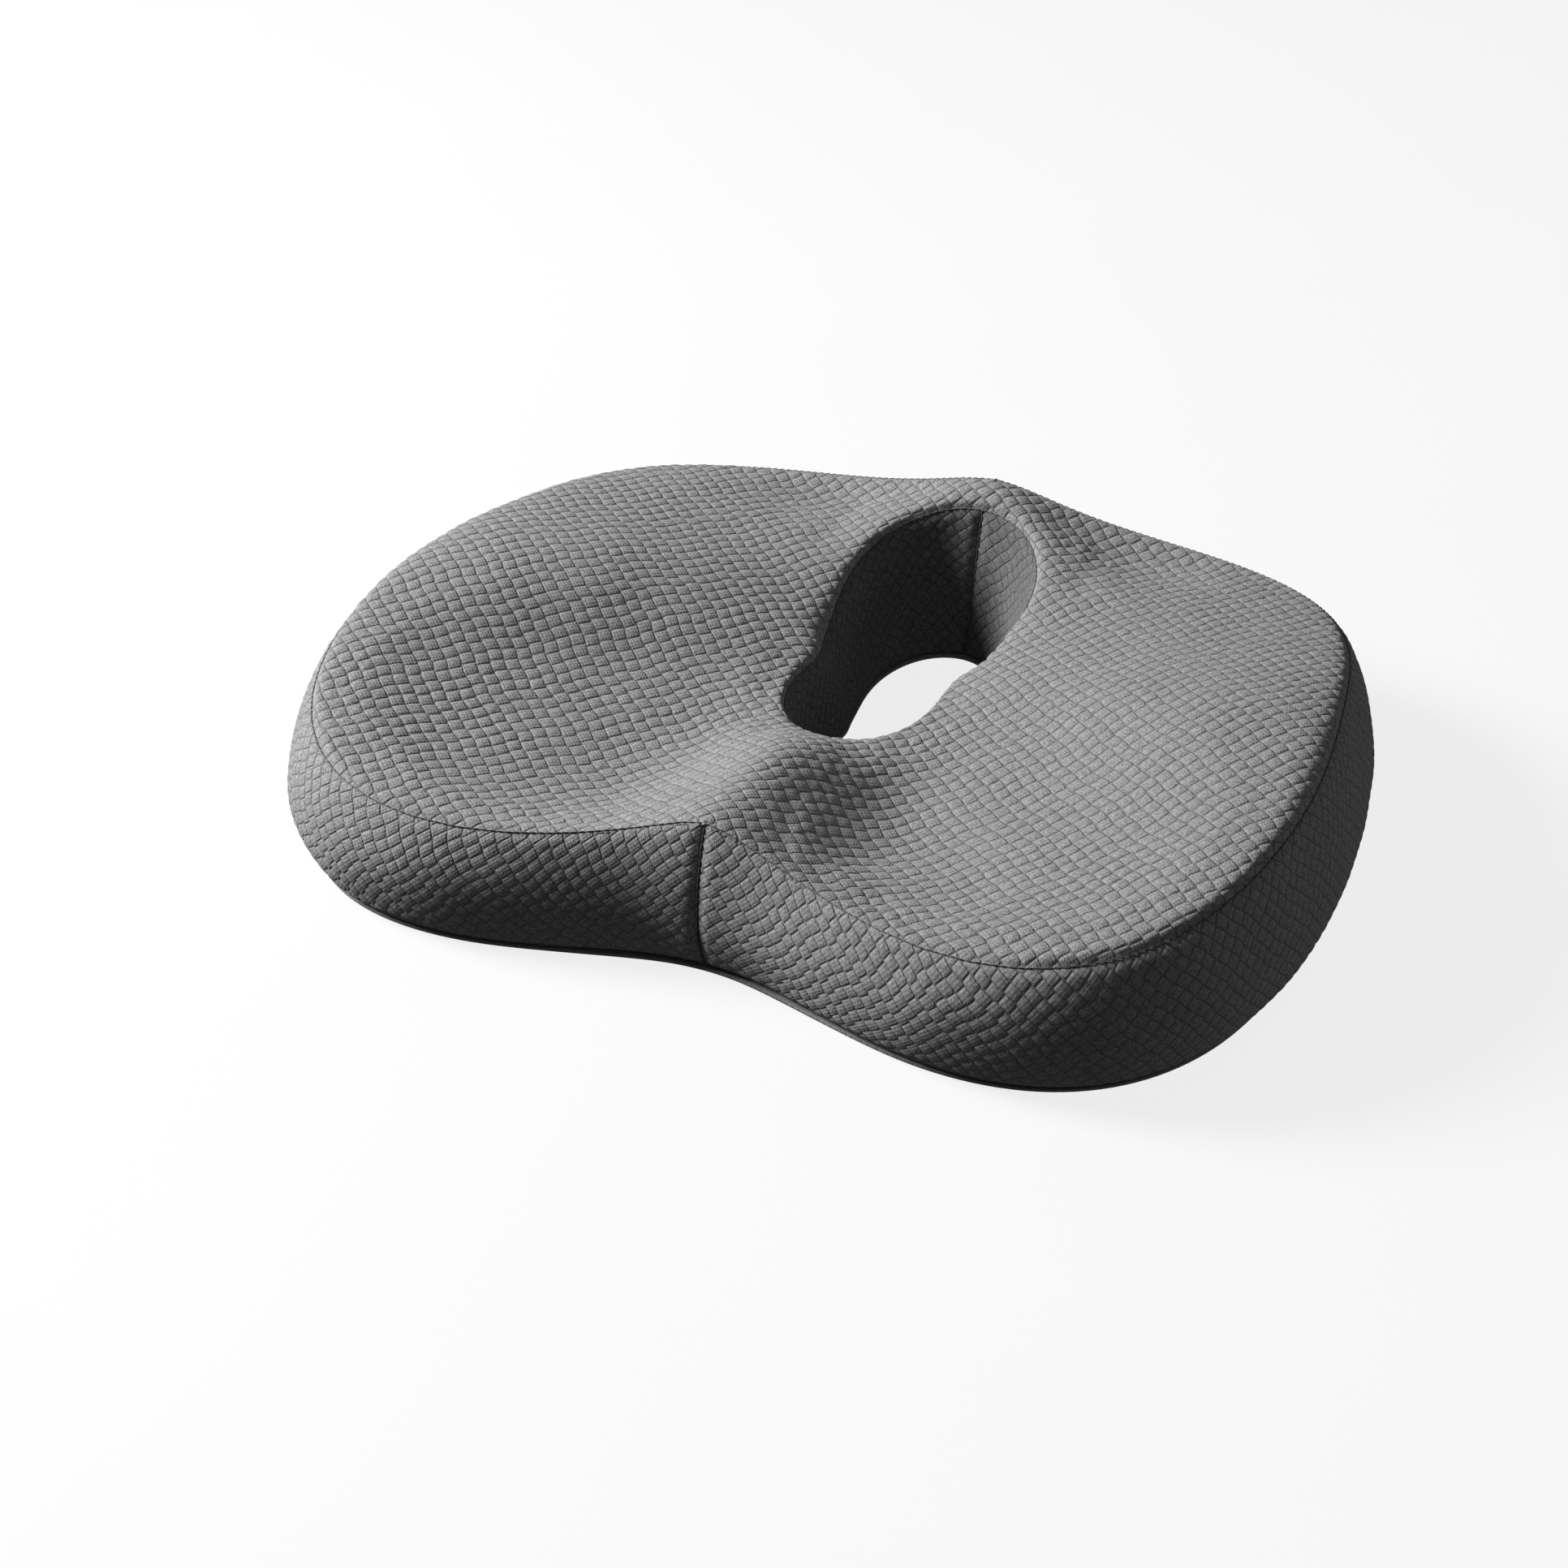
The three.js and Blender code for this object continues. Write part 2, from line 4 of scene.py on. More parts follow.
import bmesh
import bpy
import numpy as np
from bpy.props import FloatProperty, FloatVectorProperty, PointerProperty
from bpy.types import Operator, Panel, PropertyGroup
from mathutils import Matrix, Vector, noise
from mathutils.bvhtree import BVHTree
from mathutils.kdtree import KDTree


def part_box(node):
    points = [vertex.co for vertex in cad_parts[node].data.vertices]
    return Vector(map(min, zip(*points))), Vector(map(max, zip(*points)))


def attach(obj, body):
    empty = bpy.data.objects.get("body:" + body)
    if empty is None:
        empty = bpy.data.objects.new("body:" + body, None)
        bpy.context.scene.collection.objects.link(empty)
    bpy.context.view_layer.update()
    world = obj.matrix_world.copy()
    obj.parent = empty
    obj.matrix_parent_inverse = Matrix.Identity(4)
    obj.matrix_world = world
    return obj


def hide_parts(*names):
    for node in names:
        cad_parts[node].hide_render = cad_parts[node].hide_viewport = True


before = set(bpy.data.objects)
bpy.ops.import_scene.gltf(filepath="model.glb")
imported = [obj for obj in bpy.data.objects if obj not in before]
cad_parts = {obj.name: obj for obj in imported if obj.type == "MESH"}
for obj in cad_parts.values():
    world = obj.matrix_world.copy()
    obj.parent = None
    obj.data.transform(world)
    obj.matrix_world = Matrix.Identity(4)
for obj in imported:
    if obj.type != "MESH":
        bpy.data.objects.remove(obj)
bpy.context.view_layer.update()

bl_info = {
    "name": "Relief-Hole Seat Cushion",
    "version": (1, 0, 0),
    "blender": (4, 5, 0),
    "location": "View3D > Sidebar > Cushion",
    "description": "Builds the looks of a foam seat cushion on its packed frame",
    "category": "Object",
}

MM = 0.001
# Points nearer than this are one point.
MERGE = 2e-5
# A length that only keeps a division away from zero.
TINY = MERGE * MM
# A cover point nearer to the foam than this is on the cover's inner side.
OUTER = 1.2 * MM
# How thick the knit is.
SHEET = 1.3 * MM
# Where the zip runs, how far from it the edges are left straight, and how far it reaches.
ZIP_Y = -60 * MM
ZIP_ROOM = 22 * MM
ZIP_REACH = 190 * MM
# The points that the side bands and the hole's lining stand round.
OUTLINE_HUB = Vector((0.0, -0.019))
HOLE_HUB = Vector((0.0, 0.051))
# Steps of the angle round a hub, and how much a leaning wall is longer than it is high.
WALL_STEPS = 180
WALL_LEAN = 1.06
# How far from a seam the knit's puffs and the larger bumps reach their full height.
PUFF_ROOM = 4 * MM
BUMP_ROOM = 12 * MM
# The mean height of a puff as a share of its top, and how much puffs differ in height.
PUFF_MEAN = 0.45
PUFF_SPREAD = 0.25
# How wide the noise is that sets the puffs apart, raises bumps and folds the cloth at seams.
SPREAD_WIDTH = 30 * MM
BUMP_WIDTH = 34 * MM
FOLD_WIDTH = 9 * MM
# How high the bumps are, and how far the folds run from their seam.
BUMP_HEIGHT = 0.7 * MM
FOLD_REACH = 7 * MM
# Frames of the simulation that swells the foam.
SWELL_FRAMES = 20
# The base outline's longest step that is evened out, and how many times that is done.
OUTLINE_STEP = 30 * MM
OUTLINE_PASSES = 20
# What the edges of the base cloth, the zip's tapes and its end stops are rounded to.
CLOTH_EDGE = 0.4 * MM
TAPE_EDGE = 0.12 * MM
STOP_EDGE = 0.25 * MM
# The least distance from a grip dot's middle to the edge of its cloth.
DOT_MARGIN = 6 * MM
# Points along each stitch of a seam.
STITCH_STEPS = 4
# How much the loops of a zip coil lean along the zip.
COIL_LEAN = 0.25
# A grip dot is set where a ray from under the base, this far down and this long, meets it.
UP = Vector((0, 0, 1))
PROBE_START = -10 * MM
PROBE_REACH = 12.5 * MM
# Where the soft lights are, and how wide they are.
KEY_PLACE = Vector((-0.82, -0.16, 0.55)) * 2.2
KEY_SIZE = 0.9
FILL_PLACE = Vector((0.85, 0.5, 0.22)) * 2.2
FILL_SIZE = 1.4
# Where the camera is, and the direction from what it looks at back to it.
CAMERA_PLACE = (0.4524, -1.0512, 0.7223)
CAMERA_BACK = Vector((0.35507, -0.76955, 0.53076))


# ---------------------------------------------------------------- sizes and colours


def millimetres(name, description, default, low, high):
    """A length, given in millimetres and kept in metres."""
    return FloatProperty(
        name=name, description=description, default=default * MM, min=low * MM,
        max=high * MM, unit="LENGTH",
    )


def tint(name, description, red, green, blue):
    """A colour without transparency."""
    return FloatVectorProperty(
        name=name, description=description, default=(red, green, blue, 1), size=4,
        min=0, max=1, subtype="COLOR",
    )


class KnitProperties(PropertyGroup):
    pitch: millimetres(
        "Cell Pitch", "Distance from one quilted puff of the knit to the next", 6.3, 2, 30,
    )
    puff: millimetres(
        "Puff Height", "Height of a puff above the groove round it", 0.62, 0, 3,
    )
    band_share: FloatProperty(
        name="Band Pitch Share",
        description="The side bands' cell pitch as a share of the seat's",
        default=0.88, min=0.2, max=2,
    )
    lining_share: FloatProperty(
        name="Lining Pitch Share",
        description="The hole lining's cell pitch as a share of the seat's",
        default=0.8, min=0.2, max=2,
    )
    wall_puff: FloatProperty(
        name="Wall Puff Share",
        description="The height of the walls' puffs as a share of the seat's",
        default=0.75, min=0, max=2,
    )
    top_turn: FloatProperty(
        name="Seat Lattice Turn",
        description="Angle of the puffs' rows to the seat's width",
        default=math.radians(50), subtype="ANGLE",
    )
    wall_turn: FloatProperty(
        name="Wall Lattice Turn",
        description="Angle of the puffs' rows to the length of a side band or the sleeve",
        default=math.radians(43), subtype="ANGLE",
    )
    detail: millimetres(
        "Mesh Spacing", "Longest edge of the knit panels' meshes", 1.75, 1, 6,
    )
    yarn: tint("Yarn", "Colour of the knit on top of a puff", 0.205, 0.206, 0.209)
    # Painted shade: the darker colour the knit is given down in its grooves, standing in for
    # the shade between the puffs.
    groove_shade: tint("Groove", "Colour of the knit down in a groove", 0.115, 0.116, 0.118)


class SeamProperties(PropertyGroup):
    tuck: millimetres(
        "Tuck", "Depth that a panel's edge is pulled in at its seam", 1.5, 0, 5,
    )
    tuck_width: millimetres(
        "Tuck Width", "Width of the crease on each side of a seam", 2.6, 0.5, 15,
    )
    pucker: millimetres(
        "Pucker", "Height of the small folds that run into a seam", 0.5, 0, 3,
    )
    stitch: millimetres(
        "Stitch Length", "Length of one lock stitch", 3.4, 1, 10,
    )
    thread: millimetres(
        "Thread Diameter", "Diameter of the sewing thread", 0.55, 0.2, 2,
    )
    colour: tint("Thread", "Colour of the sewing thread", 0.045, 0.045, 0.047)


class FoamProperties(PropertyGroup):
    voxel: millimetres(
        "Voxel", "Size of the voxels that the foam is remeshed with", 5, 2, 20,
    )
    pressure: FloatProperty(
        name="Pressure",
        description="Pressure that swells the foam against its cover",
        default=4.0, min=0, max=20,
    )
    swell: millimetres(
        "Swell", "Furthest that a point of the foam may move", 1.6, 0, 20,
    )
    held: millimetres(
        "Held", "Distance from a seam within which the seam holds the foam in", 9, 1, 60,
    )
    slack: millimetres(
        "Slack", "Room between the foam and its cover", 1.6, 0, 10,
    )
    colour: tint("Foam", "Colour of the memory foam", 0.62, 0.59, 0.50)


class BaseProperties(PropertyGroup):
    dot_pitch: millimetres(
        "Dot Pitch", "Distance between two rubber grip dots", 8, 4, 30,
    )
    dot: millimetres(
        "Dot Diameter", "Diameter of a rubber grip dot", 2.6, 1, 10,
    )
    rise: millimetres(
        "Dot Height", "Height of a rubber grip dot", 0.45, 0.1, 2,
    )
    cloth: tint("Base Cloth", "Colour of the woven base", 0.20, 0.201, 0.205)
    rubber: tint("Rubber", "Colour of the grip dots", 0.022, 0.022, 0.023)


class ZipProperties(PropertyGroup):
    tooth_pitch: millimetres(
        "Tooth Pitch", "Distance from one loop of the coil to the next", 1.5, 0.8, 5,
    )
    wire: millimetres(
        "Coil Wire", "Diameter of the coil's nylon wire", 0.62, 0.2, 2,
    )
    bevel: millimetres(
        "Metal Edge Radius", "Radius of the slider's and tab's edges", 0.16, 0, 1,
    )
    metal: tint("Metal", "Colour of the lacquered zip metal", 0.05, 0.05, 0.053)
    tape: tint("Tape", "Colour of the zip tape", 0.05, 0.05, 0.052)


class StageProperties(PropertyGroup):
    key: FloatProperty(
        name="Key Light", description="Power of the soft light from the left",
        default=118.0, min=0, max=2000, unit="POWER",
    )
    fill: FloatProperty(
        name="Fill Light", description="Power of the soft light from the right",
        default=5.0, min=0, max=2000, unit="POWER",
    )
    ambient: FloatProperty(
        name="Ambient", description="Strength of the light from all round",
        default=0.09, min=0, max=5,
    )
    floor: tint("Floor", "Colour of the floor", 0.10, 0.10, 0.10)
    glow: FloatProperty(
        name="Floor Glow",
        description="Light that comes up through the floor, as in a light table",
        default=0.83, min=0, max=5,
    )
    lens: FloatProperty(
        name="Lens", description="Focal length of the camera",
        default=69.54, min=10, max=300, subtype="DISTANCE_CAMERA",
    )


def settings(name):
    """One group of this cushion's settings, kept on the scene."""
    return getattr(bpy.context.scene, "cushion_" + name)


# ------------------------------------------------------------------ shader writing


class Value:
    """One socket of a shader, with arithmetic that adds the nodes for it."""

    def __init__(self, finish, socket):
        self.finish = finish
        self.socket = socket

    def math(self, operation, *others):
        sockets = dict(enumerate((self,) + others))
        return self.finish.add("ShaderNodeMath", {"operation": operation}, sockets)

    def __add__(self, other):
        return self.math("ADD", other)

    __radd__ = __add__

    def __sub__(self, other):
        return self.math("SUBTRACT", other)

    def __rsub__(self, other):
        return self.finish.add("ShaderNodeMath", {"operation": "SUBTRACT"}, {0: other, 1: self})

    def __mul__(self, other):
        return self.math("MULTIPLY", other)

    __rmul__ = __mul__

    def __truediv__(self, other):
        return self.math("DIVIDE", other)

    def __pow__(self, other):
        return self.math("POWER", other)

    def __abs__(self):
        return self.math("ABSOLUTE")

    def sin(self):
        return self.math("SINE")

    def floor(self):
        return self.math("FLOOR")

    def fract(self):
        return self.math("FRACT")

    def step(self, low, high):
        """0 below low, 1 above high, and smooth between them."""
        return self.finish.add(
            "ShaderNodeMapRange", {"interpolation_type": "SMOOTHSTEP"},
            {"Value": self, "From Min": low, "From Max": high},
        )


class Finish:
    """A material of the cushion, and the nodes that make it."""

    def __init__(self, name, **uniform):
        self.material = bpy.data.materials.new(name)
        self.material.use_nodes = True
        self.tree = self.material.node_tree
        self.tree.nodes.clear()
        self.shader = self.tree.nodes.new("ShaderNodeBsdfPrincipled")
        output = self.tree.nodes.new("ShaderNodeOutputMaterial")
        self.tree.links.new(self.shader.outputs["BSDF"], output.inputs["Surface"])
        for socket, value in uniform.items():
            self.shader.inputs[socket.replace("_", " ")].default_value = value

    def add(self, kind, set_first=None, sockets=None, output=0):
        """A node of one kind, with its settings and its sockets' values or links."""
        node = self.tree.nodes.new(kind)
        for name, value in (set_first or {}).items():
            setattr(node, name, value)
        for name, value in (sockets or {}).items():
            if isinstance(value, Value):
                self.tree.links.new(value.socket, node.inputs[name])
            else:
                node.inputs[name].default_value = value
        return Value(self, node.outputs[output])

    def wear(self, **linked):
        """Links what changes over the surface to the shader."""
        for socket, value in linked.items():
            self.tree.links.new(value.socket, self.shader.inputs[socket.replace("_", " ")])
        return self.material

    def blend(self, factor, first, second):
        return self.add(
            "ShaderNodeMix", {"data_type": "RGBA"}, {0: factor, 6: first, 7: second}, 2
        )

    def place(self):
        return self.add("ShaderNodeTexCoord", output="Object")

    def attribute(self, name):
        return self.add("ShaderNodeAttribute", {"attribute_name": name}, output="Vector")

    def parts(self, vector):
        split = self.add("ShaderNodeSeparateXYZ", None, {0: vector})
        outputs = split.socket.node.outputs
        return [Value(self, outputs[axis]) for axis in range(3)]

    def grain(self, vector, scale, detail=2.0, roughness=0.5):
        return self.add(
            "ShaderNodeTexNoise", None,
            {"Vector": vector, "Scale": scale, "Detail": detail, "Roughness": roughness},
        )

    def cells(self, vector, scale):
        sockets = {"Vector": vector, "Scale": scale}
        return self.add("ShaderNodeTexVoronoi", None, sockets, "Distance")

    def dents(self, height, distance, strength=1.0, under=None):
        sockets = {"Strength": strength, "Distance": distance, "Height": height}
        if under is not None:
            sockets["Normal"] = under
        return self.add("ShaderNodeBump", None, sockets)


def shaded(colour, share):
    """A colour made darker or lighter."""
    return tuple(min(channel * share, 1) for channel in colour[:3]) + (1,)


def lattice(across, along, turn, pitch, sine, floor):
    """Where a place lies in the knit's lattice: two plain axes, and two that waver."""
    first = (across * math.cos(turn) + along * math.sin(turn)) / pitch
    second = (along * math.cos(turn) - across * math.sin(turn)) / pitch
    row = first + sine(second * 0.7 + 1.1) * 0.10 + sine(second * 2.3) * 0.05
    cell = second + sine(floor(row) * 2.4) * 0.15 + sine(first * 0.9) * 0.08
    return first, second, row, cell


def knit_finish(name, turn, pitch, painted_shade_factor=1.0):
    """Quilted knit: puffs in a lattice, painted shade darkening the grooves, fine stitches and
    a soft sheen.
    """
    knit = settings("knit")
    finish = Finish(name, Sheen_Weight=0.08, Sheen_Roughness=0.5, Specular_IOR_Level=0.22)
    across, along, _ = finish.parts(finish.attribute("knit"))
    first, second, row, cell = lattice(across, along, turn, pitch, Value.sin, Value.floor)
    over = 1 - abs(row.fract() * 2 - 1) ** 5.0
    beside = 1 - abs(cell.fract() * 2 - 1) ** 4.0
    puff = over * beside
    # Painted shade mask: 1 down in the grooves between the puffs, where the knit is darkened.
    groove_shade = 1 - puff.step(0.0, 0.55)
    place = finish.place()
    course = (first * 9.0 * math.pi).sin() * 0.5 + 0.5
    wale = course * ((second * 7.0 * math.pi).sin() * 0.5 + 0.5)
    fibre = finish.grain(place, 2600.0, 3.0, 0.7)
    melange = finish.grain(place, 900.0, 2.0, 0.6)
    patch = finish.grain(place, 14.0, 3.0, 0.55)
    # A factor below 1 darkens both colours of the panel as painted shade; the hole lining uses
    # it.
    light, dark = shaded(knit.yarn, painted_shade_factor), shaded(knit.groove_shade, painted_shade_factor)
    pale, deep = shaded(light, 1.35), shaded(light, 0.62)
    yarn = finish.blend(melange.step(0.35, 0.7), deep, pale)
    yarn = finish.blend(patch * 0.35 + wale * 0.3, yarn, light)
    # The grooves get the painted shade colour.
    colour = finish.blend(groove_shade * 0.85, yarn, dark)
    relief = finish.dents(puff.step(0.0, 0.8), 0.5 * MM, 0.8)
    stitches = finish.dents(wale * 0.7 + fibre * 0.6, 0.22 * MM, 0.8, relief)
    rough = 0.86 + fibre * 0.12 - wale * 0.05
    return finish.wear(Base_Color=colour, Roughness=rough, Normal=stitches)


def thread_finish():
    finish = Finish("Sewing_Thread", Sheen_Weight=0.3, Specular_IOR_Level=0.35)
    place = finish.place()
    strand = finish.add(
        "ShaderNodeTexWave", {"bands_direction": "DIAGONAL"},
        {"Vector": place, "Scale": 900.0, "Distortion": 3.0, "Detail": 2.0}, "Fac",
    )
    dark = tuple(settings("seam").colour)
    pale = shaded(dark, 1.7)
    return finish.wear(
        Base_Color=finish.blend(strand, dark, pale),
        Roughness=0.62 + strand * 0.2,
        Normal=finish.dents(strand, 0.08 * MM, 0.7),
    )


def foam_finish():
    finish = Finish("Memory_Foam", Subsurface_Weight=0.15, Subsurface_Scale=0.004)
    place = finish.place()
    pores = finish.cells(place, 1400.0)
    patch = finish.grain(place, 22.0, 3.0)
    pale = tuple(settings("foam").colour)
    dark = shaded(pale, 0.82)
    colour = finish.blend(patch.step(0.3, 0.75) * 0.6 + pores * 0.4, pale, dark)
    return finish.wear(
        Base_Color=colour,
        Roughness=0.82 + patch * 0.12,
        Normal=finish.dents(pores, 0.3 * MM, 0.6),
    )


def base_finish():
    """Close plain weave: two crossing yarns, a little slub and dust-grey wear."""
    finish = Finish("Base_Weave", Sheen_Weight=0.12, Specular_IOR_Level=0.25)
    place = finish.place()
    x, y, _ = finish.parts(place)
    slub = finish.grain(place, 60.0, 2.0)
    warp = ((x * 2100.0 * math.pi + slub * 3.0).sin() * 0.5 + 0.5)
    weft = ((y * 2100.0 * math.pi + slub * 3.0).sin() * 0.5 + 0.5)
    under = ((x * 1050.0 * math.pi).sin() * (y * 1050.0 * math.pi).sin()).step(-0.2, 0.2)
    yarns = warp * under + weft * (1 - under)
    rub = finish.grain(place, 9.0, 4.0, 0.6).step(0.45, 0.75)
    cloth = tuple(settings("base").cloth)
    pale = shaded(cloth, 1.6)
    dark = shaded(cloth, 0.6)
    colour = finish.blend(yarns, dark, cloth)
    colour = finish.blend(rub * 0.3, colour, pale)
    return finish.wear(
        Base_Color=colour,
        Roughness=0.84 + yarns * 0.1,
        Normal=finish.dents(yarns + slub * 0.3, 0.18 * MM, 0.8),
    )


def rubber_finish():
    finish = Finish("Grip_Rubber", Specular_IOR_Level=0.4)
    place = finish.place()
    dust = finish.grain(place, 300.0, 3.0)
    scuff = finish.grain(place, 30.0, 3.0)
    dark = tuple(settings("base").rubber)
    pale = shaded(dark, 2.4)
    return finish.wear(
        Base_Color=finish.blend(dust * scuff, dark, pale),
        Roughness=0.48 + dust * 0.25,
        Normal=finish.dents(dust, 0.05 * MM, 0.5),
    )


def tape_finish():
    """Ribbed woven tape, its ribs along the zip."""
    finish = Finish("Zip_Tape", Sheen_Weight=0.15, Specular_IOR_Level=0.3)
    place = finish.place()
    x, y, _ = finish.parts(place)
    rib = (y * 2000.0 * math.pi).sin() * 0.5 + 0.5
    pick = (x * 2600.0 * math.pi + (y * 2000.0).floor() * math.pi).sin() * 0.5 + 0.5
    fuzz = finish.grain(place, 1500.0, 2.0)
    cloth = tuple(settings("zip").tape)
    pale = shaded(cloth, 1.8)
    weave = rib * 0.7 + pick * 0.4
    return finish.wear(
        Base_Color=finish.blend(weave * fuzz, cloth, pale),
        Roughness=0.72 + fuzz * 0.15,
        Normal=finish.dents(weave, 0.14 * MM, 0.8),
    )


def coil_finish():
    finish = Finish("Zip_Nylon", Specular_IOR_Level=0.5)
    place = finish.place()
    haze = finish.grain(place, 700.0, 2.0)
    rub = finish.grain(place, 45.0, 3.0).step(0.4, 0.7)
    cloth = shaded(settings("zip").tape, 0.8)
    pale = shaded(cloth, 2.2)
    return finish.wear(
        Base_Color=finish.blend(rub * 0.5, cloth, pale),
        Roughness=0.3 + haze * 0.25,
        Normal=finish.dents(haze, 0.03 * MM, 0.4),
    )


def metal_finish():
    """Dark lacquer on cast zinc, worn through to the metal in small places."""
    finish = Finish("Zip_Metal", Coat_Roughness=0.18, Specular_IOR_Level=0.5)
    place = finish.place()
    cast = finish.grain(place, 1800.0, 3.0)
    rub = finish.grain(place, 420.0, 4.0, 0.65).step(0.6, 0.7)
    lacquer = tuple(settings("zip").metal)
    zinc = (0.42, 0.42, 0.44, 1)
    return finish.wear(
        Base_Color=finish.blend(rub, lacquer, zinc),
        Metallic=0.55 + rub * 0.45,
        Roughness=0.3 + cast * 0.16,
        Coat_Weight=0.5 - rub * 0.5,
        Normal=finish.dents(cast, 0.03 * MM, 0.5),
    )


def floor_finish():
    finish = Finish("Studio_Floor", Specular_IOR_Level=0.1, Emission_Strength=1.0)
    place = finish.place()
    mottle = finish.grain(place, 3.0, 3.0)
    stage = settings("stage")
    pale = tuple(stage.floor)
    dim = shaded(pale, 0.9)
    lit = (stage.glow, stage.glow, stage.glow, 1)
    soft = shaded(lit, 0.99)
    return finish.wear(
        Base_Color=finish.blend(mottle, pale, dim),
        Emission_Color=finish.blend(mottle, lit, soft),
        Roughness=0.78 + mottle * 0.1,
    )


# ---------------------------------------------------------------------- mesh helpers


def linked(name, data):
    """An object in the scene that holds the data."""
    item = bpy.data.objects.new(name, data)
    bpy.context.scene.collection.objects.link(item)
    return item


def baked(holder):
    """The mesh of an object with its modifiers applied; the object itself goes."""
    graph = bpy.context.evaluated_depsgraph_get()
    shaped = bpy.data.meshes.new_from_object(holder.evaluated_get(graph), depsgraph=graph)
    bpy.data.objects.remove(holder)
    return shaped


def finished(name, mesh, material, nodes=(), body="cushion"):
    """A finished piece: its object, material, slot, body and the CAD nodes it stands for."""
    piece = linked(name, mesh)
    mesh.materials.clear()
    mesh.materials.append(material)
    mesh.polygons.foreach_set("use_smooth", [True] * len(mesh.polygons))
    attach(piece, body)
    if nodes:
        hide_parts(*nodes)
    return piece


def mesh_of(bm, name):
    mesh = bpy.data.meshes.new(name)
    bm.to_mesh(mesh)
    bm.free()
    return mesh


def merged_copy(node):
    """A bmesh of a CAD node's shape, with its loose triangles joined."""
    bm = bmesh.new()
    bm.from_mesh(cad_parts[node].data)
    bmesh.ops.remove_doubles(bm, verts=bm.verts, dist=MERGE)
    bm.normal_update()
    return bm


def with_modifier(mesh, kind, **values):
    """The mesh with one modifier applied."""
    holder = linked("holder", mesh)
    modifier = holder.modifiers.new(kind, kind)
    for name, value in values.items():
        setattr(modifier, name, value)
    return baked(holder)


def subdivided(mesh, levels):
    """The mesh made smooth and fine, with the corners of its border kept."""
    return with_modifier(
        mesh, "SUBSURF", levels=levels, render_levels=levels,
        boundary_smooth="PRESERVE_CORNERS",
    )


def vectors(items, name):
    """One vector of every item, as the rows of an array."""
    flat = np.empty(len(items) * 3, np.float32)
    items.foreach_get(name, flat)
    return flat.reshape(-1, 3).astype(float)


def points_of(mesh):
    return vectors(mesh.vertices, "co")


def sharp_edges(bm, degrees):
    """The edges whose two faces meet at more than the angle."""
    return [
        edge for edge in bm.edges
        if edge.is_manifold and edge.calc_face_angle() > math.radians(degrees)
    ]


def round_off(bm, edges, radius, segments=2, clamp=False):
    """Rounds edges off, by less where a face is too small and clamp is set."""
    bmesh.ops.bevel(
        bm, geom=edges, offset=radius, segments=segments, affect="EDGES", profile=0.5,
        material=-1, clamp_overlap=clamp,
    )


def put_copy(bm, mesh, place):
    """Adds a copy of a small mesh at a place."""
    move = Matrix.Translation(place)
    mesh.transform(move)
    bm.from_mesh(mesh)
    mesh.transform(move.inverted())


def straightened(bm):
    """Takes out the vertices that lie on a flat face or a straight edge."""
    bmesh.ops.dissolve_limit(bm, angle_limit=math.radians(1), verts=bm.verts, edges=bm.edges)


def rounded(node, name, material, body, radius):
    """A metal piece of the zip: its CAD node's shape with the sharp edges rounded."""
    bm = merged_copy(node)
    straightened(bm)
    round_off(bm, sharp_edges(bm, 35), radius, clamp=True)
    piece = finished(name, mesh_of(bm, name), material, [node], body)
    piece.data.set_sharp_from_angle(angle=math.radians(50))


def set_points(mesh, points):
    mesh.vertices.foreach_set("co", points.astype(np.float32).ravel())
    mesh.update()


def foam_tree():
    bm = merged_copy("foam_core")
    tree = BVHTree.FromBMesh(bm)
    bm.free()
    return tree


def outer_skin(node, foam):
    """The side of a sewn panel that faces away from the foam, as smooth quads."""
    bm = merged_copy(node)
    inner = [vert for vert in bm.verts if foam.find_nearest(vert.co)[3] < OUTER]
    bmesh.ops.delete(bm, geom=inner, context="VERTS")
    bmesh.ops.join_triangles(
        bm, faces=bm.faces, angle_face_threshold=math.radians(60),
        angle_shape_threshold=math.radians(80),
    )
    return bm


def border_loops(mesh):
    """The open edges of a mesh as closed chains of vertex numbers."""
    bm = bmesh.new()
    bm.from_mesh(mesh)
    bm.verts.ensure_lookup_table()
    left = {v.index for e in bm.edges if e.is_boundary for v in e.verts}
    loops = []
    while left:
        start = min(left)
        chain, current = [start], bm.verts[start]
        left.discard(start)
        while True:
            following = [
                e.other_vert(current) for e in current.link_edges
                if e.is_boundary and e.other_vert(current).index in left
            ]
            if not following:
                break
            current = following[0]
            left.discard(current.index)
            chain.append(current.index)
        loops.append(chain)
    bm.free()
    return sorted(loops, key=len, reverse=True)


def border_points(mesh):
    points = points_of(mesh)
    return [points[number] for loop in border_loops(mesh) for number in loop]


def search_tree(points):
    tree = KDTree(len(points))
    for number, point in enumerate(points):
        tree.insert(point, number)
    tree.balance()
    return tree


def nearest(points, targets):
    """Distance from each point to the nearest of the targets."""
    tree = search_tree(targets)
    return np.array([tree.find(point)[2] for point in points])


def faded(distance, room):
    """0 at no distance, rising evenly to 1 where the room ends."""
    return np.clip(distance / room, 0, 1)


def lumps(points, size, seed):
    """Smooth noise from -1 to 1 whose bumps are about size across."""
    shift = Vector((seed * 7.3, seed * 3.1, seed * 5.7))
    return np.array([noise.noise(Vector(point) / size + shift) for point in points])


